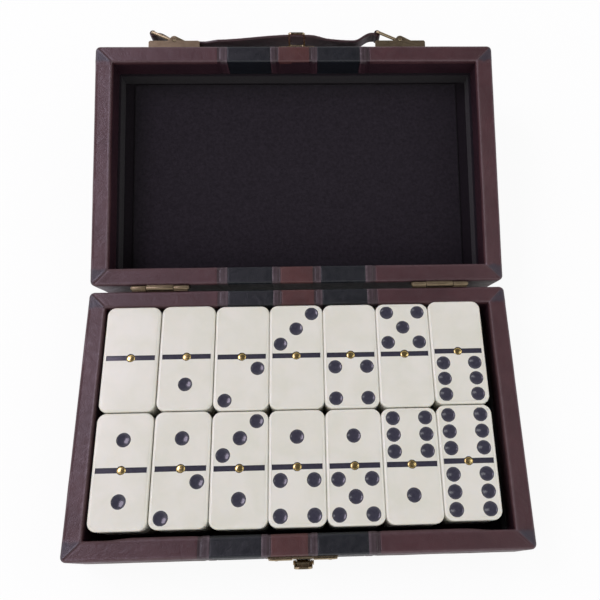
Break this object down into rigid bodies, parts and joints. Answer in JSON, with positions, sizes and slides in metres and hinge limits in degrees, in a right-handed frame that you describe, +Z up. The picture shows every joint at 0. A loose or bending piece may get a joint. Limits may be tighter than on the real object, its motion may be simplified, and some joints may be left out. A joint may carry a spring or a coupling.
{
  "type": "domino storage box",
  "caption": "Hinged case covered in burgundy leather cloth with coloured stripes, a brass latch and a strap handle, holding a double-six set of dominoes.",
  "frame": {"origin": "centre of the base's underside, on the surface the box stands on", "axes": "+X to the right seen from the latch, +Y from the latch towards the hinges, +Z up"},
  "size_m": [0.203, 0.2642, 0.0709],
  "materials": {
    "wood": "raw sawn board",
    "leather_cloth": "satin embossed grain",
    "green_cloth": "satin embossed grain",
    "red_brown_cloth": "satin embossed grain",
    "mauve_cloth": "satin embossed grain",
    "lining_felt": "matt felt",
    "pad_felt": "matt felt",
    "strap_leather": "satin padded leather cloth",
    "brass": "polished, slightly tarnished",
    "tile_ivory": "polished ivory resin"
  },
  "bodies": {
    "base": {"base_boards": "wood", "base_bottom": "wood", "base_cover": "leather_cloth", "base_green_stripes": "green_cloth", "base_centre_stripe": "red_brown_cloth", "base_welts": "mauve_cloth", "base_wall_lining": "lining_felt", "base_floor_lining": "lining_felt", "base_underside": "leather_cloth", "hinge_base_leaves": "brass", "hinge_pins": "brass", "base_rivets": "brass", "latch_plate": "brass", "latch_pin": "brass"},
    "lid": {"lid_boards": "wood", "lid_top": "wood", "lid_cover": "leather_cloth", "lid_green_stripes": "green_cloth", "lid_centre_stripe": "red_brown_cloth", "lid_welts": "mauve_cloth", "lid_wall_lining": "lining_felt", "lid_floor_lining": "lining_felt", "lid_pad": "pad_felt", "hinge_lid_leaves": "brass", "lid_rivets": "brass", "hasp_loop": "brass", "bracket_left": "brass", "bracket_right": "brass"},
    "lever": {"latch_lever": "brass"},
    "ring_left": {"ring_left": "brass"},
    "strap": {"handle_strap": "strap_leather"},
    "ring_right": {"ring_right": "brass"},
    "tile_3_5": {"tile_3_5": "tile_ivory"},
    "tile_3_6": {"tile_3_6": "tile_ivory"},
    "tile_4_4": {"tile_4_4": "tile_ivory"},
    "tile_4_5": {"tile_4_5": "tile_ivory"},
    "tile_4_6": {"tile_4_6": "tile_ivory"},
    "tile_5_5": {"tile_5_5": "tile_ivory"},
    "tile_5_6": {"tile_5_6": "tile_ivory"},
    "tile_2_2": {"tile_2_2": "tile_ivory"},
    "tile_2_3": {"tile_2_3": "tile_ivory"},
    "tile_2_4": {"tile_2_4": "tile_ivory"},
    "tile_2_5": {"tile_2_5": "tile_ivory"},
    "tile_2_6": {"tile_2_6": "tile_ivory"},
    "tile_3_3": {"tile_3_3": "tile_ivory"},
    "tile_3_4": {"tile_3_4": "tile_ivory"},
    "tile_1_1": {"tile_1_1": "tile_ivory"},
    "tile_1_2": {"tile_1_2": "tile_ivory"},
    "tile_1_3": {"tile_1_3": "tile_ivory"},
    "tile_1_4": {"tile_1_4": "tile_ivory"},
    "tile_1_5": {"tile_1_5": "tile_ivory"},
    "tile_1_6": {"tile_1_6": "tile_ivory"},
    "tile_6_6": {"tile_6_6": "tile_ivory"},
    "tile_0_0": {"tile_0_0": "tile_ivory"},
    "tile_0_1": {"tile_0_1": "tile_ivory"},
    "tile_0_2": {"tile_0_2": "tile_ivory"},
    "tile_0_3": {"tile_0_3": "tile_ivory"},
    "tile_0_4": {"tile_0_4": "tile_ivory"},
    "tile_0_5": {"tile_0_5": "tile_ivory"},
    "tile_0_6": {"tile_0_6": "tile_ivory"}
  },
  "joints": [
    {"name": "lid", "type": "hinge", "parent": "base", "child": "lid", "pos_m": [0, 0.063, 0.0285], "axis": [-1, 0, 0], "range_deg": [-165, 0]},
    {"name": "latch", "type": "hinge", "parent": "base", "child": "lever", "pos_m": [0.0007, -0.0637, 0.012], "axis": [1, 0, 0], "range_deg": [-9, 35]},
    {"name": "ring_left", "type": "hinge", "parent": "lid", "child": "ring_left", "pos_m": [-0.06225, 0.18984, 0.05317], "axis": [0, 0.2588, -0.9659], "range_deg": [0, 132]},
    {"name": "strap", "type": "hinge", "parent": "ring_left", "child": "strap", "pos_m": [-0.07376, 0.19479, 0.0545], "axis": [0, 0.2588, -0.9659], "range_deg": [-132, 0]},
    {"name": "ring_right", "type": "hinge", "parent": "lid", "child": "ring_right", "pos_m": [0.05425, 0.18984, 0.05317], "axis": [0, 0.2588, -0.9659], "range_deg": [0, 132]},
    {"name": "lift_3_5", "type": "slide", "parent": "base", "child": "tile_3_5", "axis": [0, 0, 1], "range_m": [0, 0.03]},
    {"name": "lift_3_6", "type": "slide", "parent": "base", "child": "tile_3_6", "axis": [0, 0, 1], "range_m": [0, 0.03]},
    {"name": "lift_4_4", "type": "slide", "parent": "base", "child": "tile_4_4", "axis": [0, 0, 1], "range_m": [0, 0.03]},
    {"name": "lift_4_5", "type": "slide", "parent": "base", "child": "tile_4_5", "axis": [0, 0, 1], "range_m": [0, 0.03]},
    {"name": "lift_4_6", "type": "slide", "parent": "base", "child": "tile_4_6", "axis": [0, 0, 1], "range_m": [0, 0.03]},
    {"name": "lift_5_5", "type": "slide", "parent": "base", "child": "tile_5_5", "axis": [0, 0, 1], "range_m": [0, 0.03]},
    {"name": "lift_5_6", "type": "slide", "parent": "base", "child": "tile_5_6", "axis": [0, 0, 1], "range_m": [0, 0.03]},
    {"name": "lift_2_2", "type": "slide", "parent": "base", "child": "tile_2_2", "axis": [0, 0, 1], "range_m": [0, 0.03]},
    {"name": "lift_2_3", "type": "slide", "parent": "base", "child": "tile_2_3", "axis": [0, 0, 1], "range_m": [0, 0.03]},
    {"name": "lift_2_4", "type": "slide", "parent": "base", "child": "tile_2_4", "axis": [0, 0, 1], "range_m": [0, 0.03]},
    {"name": "lift_2_5", "type": "slide", "parent": "base", "child": "tile_2_5", "axis": [0, 0, 1], "range_m": [0, 0.03]},
    {"name": "lift_2_6", "type": "slide", "parent": "base", "child": "tile_2_6", "axis": [0, 0, 1], "range_m": [0, 0.03]},
    {"name": "lift_3_3", "type": "slide", "parent": "base", "child": "tile_3_3", "axis": [0, 0, 1], "range_m": [0, 0.03]},
    {"name": "lift_3_4", "type": "slide", "parent": "base", "child": "tile_3_4", "axis": [0, 0, 1], "range_m": [0, 0.03]},
    {"name": "lift_1_1", "type": "slide", "parent": "tile_3_5", "child": "tile_1_1", "axis": [0, 0, 1], "range_m": [0, 0.03]},
    {"name": "lift_1_2", "type": "slide", "parent": "tile_3_6", "child": "tile_1_2", "axis": [0, 0, 1], "range_m": [0, 0.03]},
    {"name": "lift_1_3", "type": "slide", "parent": "tile_4_4", "child": "tile_1_3", "axis": [0, 0, 1], "range_m": [0, 0.03]},
    {"name": "lift_1_4", "type": "slide", "parent": "tile_4_5", "child": "tile_1_4", "axis": [0, 0, 1], "range_m": [0, 0.03]},
    {"name": "lift_1_5", "type": "slide", "parent": "tile_4_6", "child": "tile_1_5", "axis": [0, 0, 1], "range_m": [0, 0.03]},
    {"name": "lift_1_6", "type": "slide", "parent": "tile_5_5", "child": "tile_1_6", "axis": [0, 0, 1], "range_m": [0, 0.03]},
    {"name": "lift_6_6", "type": "slide", "parent": "tile_5_6", "child": "tile_6_6", "axis": [0, 0, 1], "range_m": [0, 0.03]},
    {"name": "lift_0_0", "type": "slide", "parent": "tile_2_2", "child": "tile_0_0", "axis": [0, 0, 1], "range_m": [0, 0.03]},
    {"name": "lift_0_1", "type": "slide", "parent": "tile_2_3", "child": "tile_0_1", "axis": [0, 0, 1], "range_m": [0, 0.03]},
    {"name": "lift_0_2", "type": "slide", "parent": "tile_2_4", "child": "tile_0_2", "axis": [0, 0, 1], "range_m": [0, 0.03]},
    {"name": "lift_0_3", "type": "slide", "parent": "tile_2_5", "child": "tile_0_3", "axis": [0, 0, 1], "range_m": [0, 0.03]},
    {"name": "lift_0_4", "type": "slide", "parent": "tile_2_6", "child": "tile_0_4", "axis": [0, 0, 1], "range_m": [0, 0.03]},
    {"name": "lift_0_5", "type": "slide", "parent": "tile_3_3", "child": "tile_0_5", "axis": [0, 0, 1], "range_m": [0, 0.03]},
    {"name": "lift_0_6", "type": "slide", "parent": "tile_3_4", "child": "tile_0_6", "axis": [0, 0, 1], "range_m": [0, 0.03]}
  ],
  "couplings": [
    {"joint": "strap", "follows": "ring_left", "ratio": -1},
    {"joint": "ring_right", "follows": "ring_left", "ratio": 1}
  ]
}
